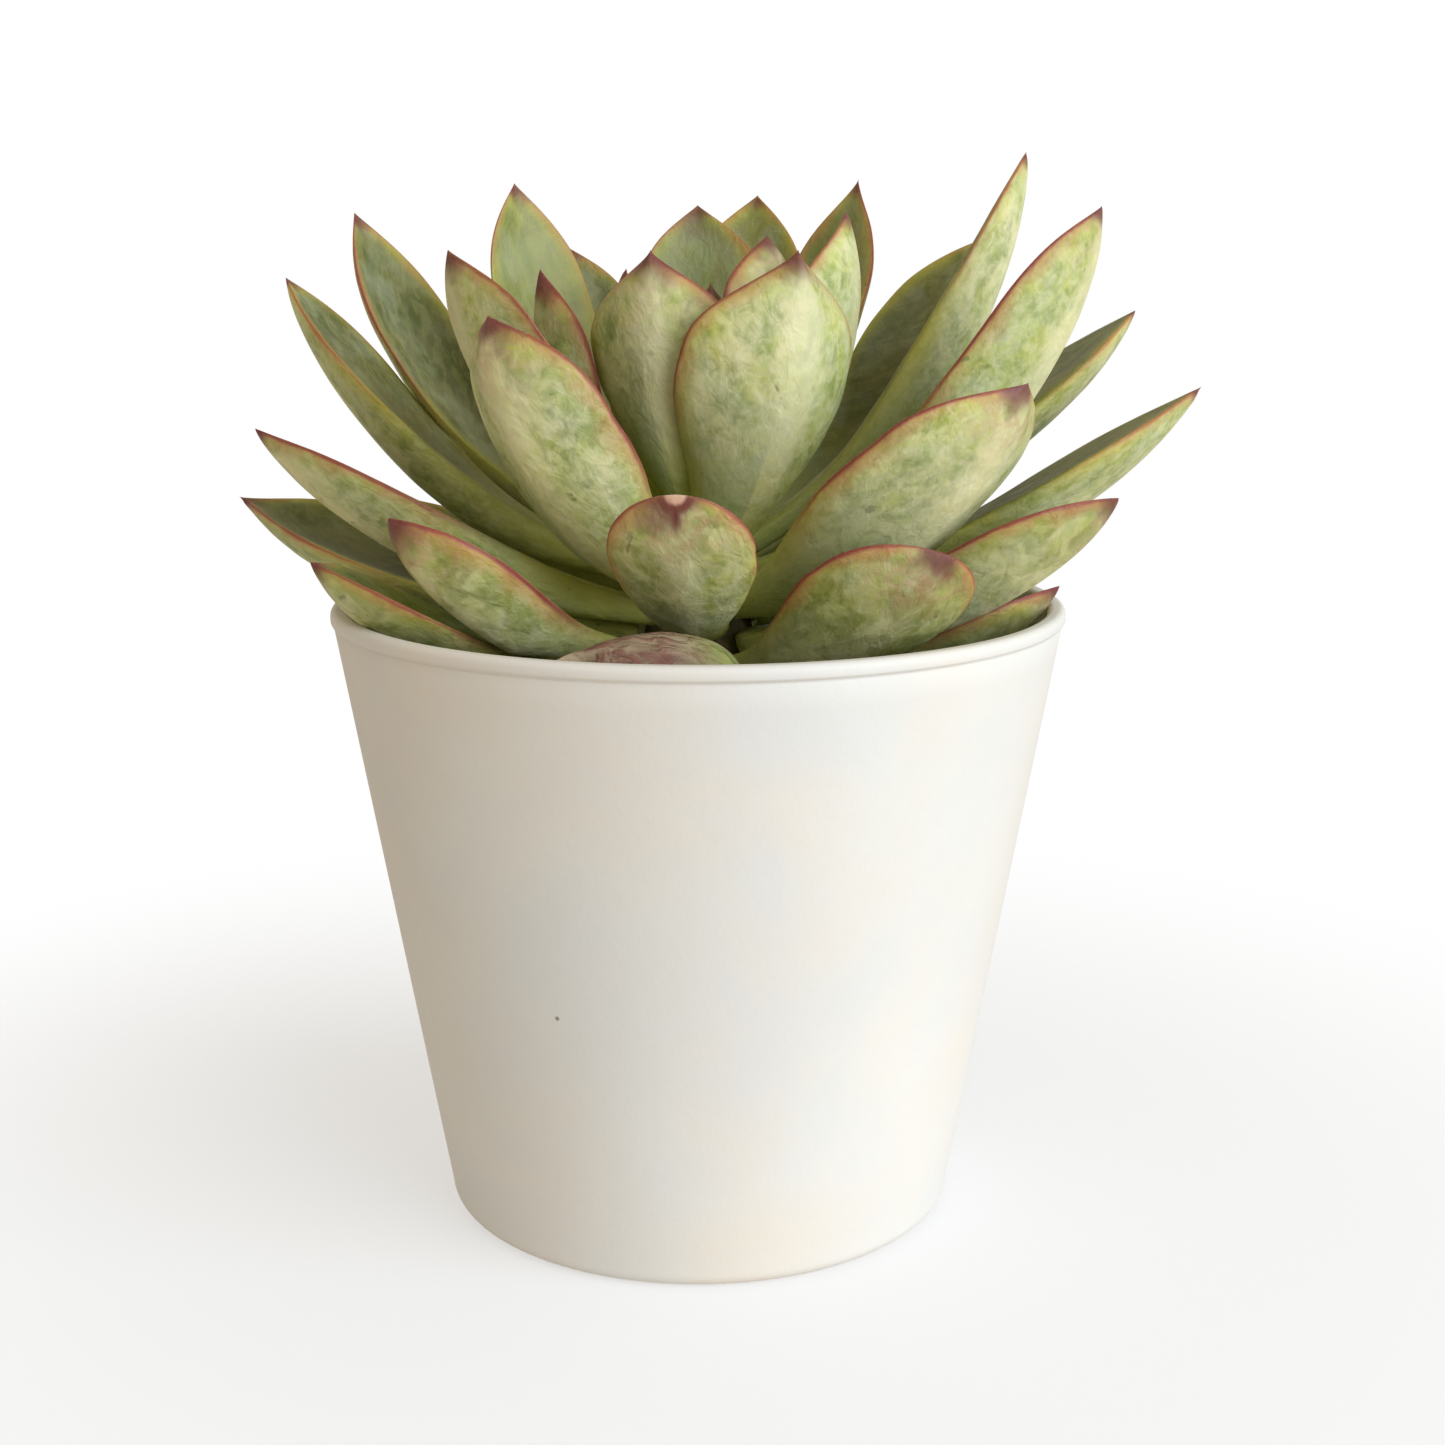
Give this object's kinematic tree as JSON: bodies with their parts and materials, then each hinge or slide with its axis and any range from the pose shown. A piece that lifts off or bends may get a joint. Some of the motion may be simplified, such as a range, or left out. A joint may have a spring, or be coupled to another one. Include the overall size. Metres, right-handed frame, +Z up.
{
  "type": "potted succulent",
  "caption": "Rosette succulent with fleshy pointed leaves on a short stem, growing in potting mix in a small tapered pot with a rounded lip.",
  "frame": {"origin": "centre of the pot's flat base, on the surface it stands on", "axes": "+Z up the pot's axis, -Y towards the viewer in front, +X to the viewer's right"},
  "size_m": [0.1457, 0.119, 0.1602],
  "materials": {
    "pot": "matt off-white, faintly mottled, with a fine grain",
    "potting_mix": "dark crumbly peat and bark",
    "stem": "matt, scarred by old leaf bases",
    "leaf": "waxy satin, pale green with a dusty bloom and red margins",
    "withered_leaf": "dull, shrivelled brown and mauve"
  },
  "bodies": {
    "root": {"pot": "pot", "potting_mix": "potting_mix", "stem": "stem", "withered_leaf": "withered_leaf", "leaf_01": "leaf", "leaf_02": "leaf", "leaf_03": "leaf", "leaf_04": "leaf", "leaf_05": "leaf", "leaf_06": "leaf", "leaf_07": "leaf", "leaf_08": "leaf", "leaf_09": "leaf", "leaf_10": "leaf", "leaf_11": "leaf", "leaf_12": "leaf", "leaf_13": "leaf", "leaf_14": "leaf", "leaf_15": "leaf", "leaf_16": "leaf", "leaf_17": "leaf", "leaf_18": "leaf", "leaf_19": "leaf", "leaf_20": "leaf", "leaf_21": "leaf", "leaf_22": "leaf", "leaf_23": "leaf", "leaf_24": "leaf", "leaf_25": "leaf", "leaf_26": "leaf", "leaf_27": "leaf", "leaf_28": "leaf", "leaf_29": "leaf", "leaf_30": "leaf", "leaf_31": "leaf", "leaf_32": "leaf", "leaf_33": "leaf", "leaf_34": "leaf", "leaf_35": "leaf", "leaf_36": "leaf", "leaf_37": "leaf", "leaf_38": "leaf", "leaf_39": "leaf", "leaf_40": "leaf", "leaf_41": "leaf"}
  },
  "joints": []
}
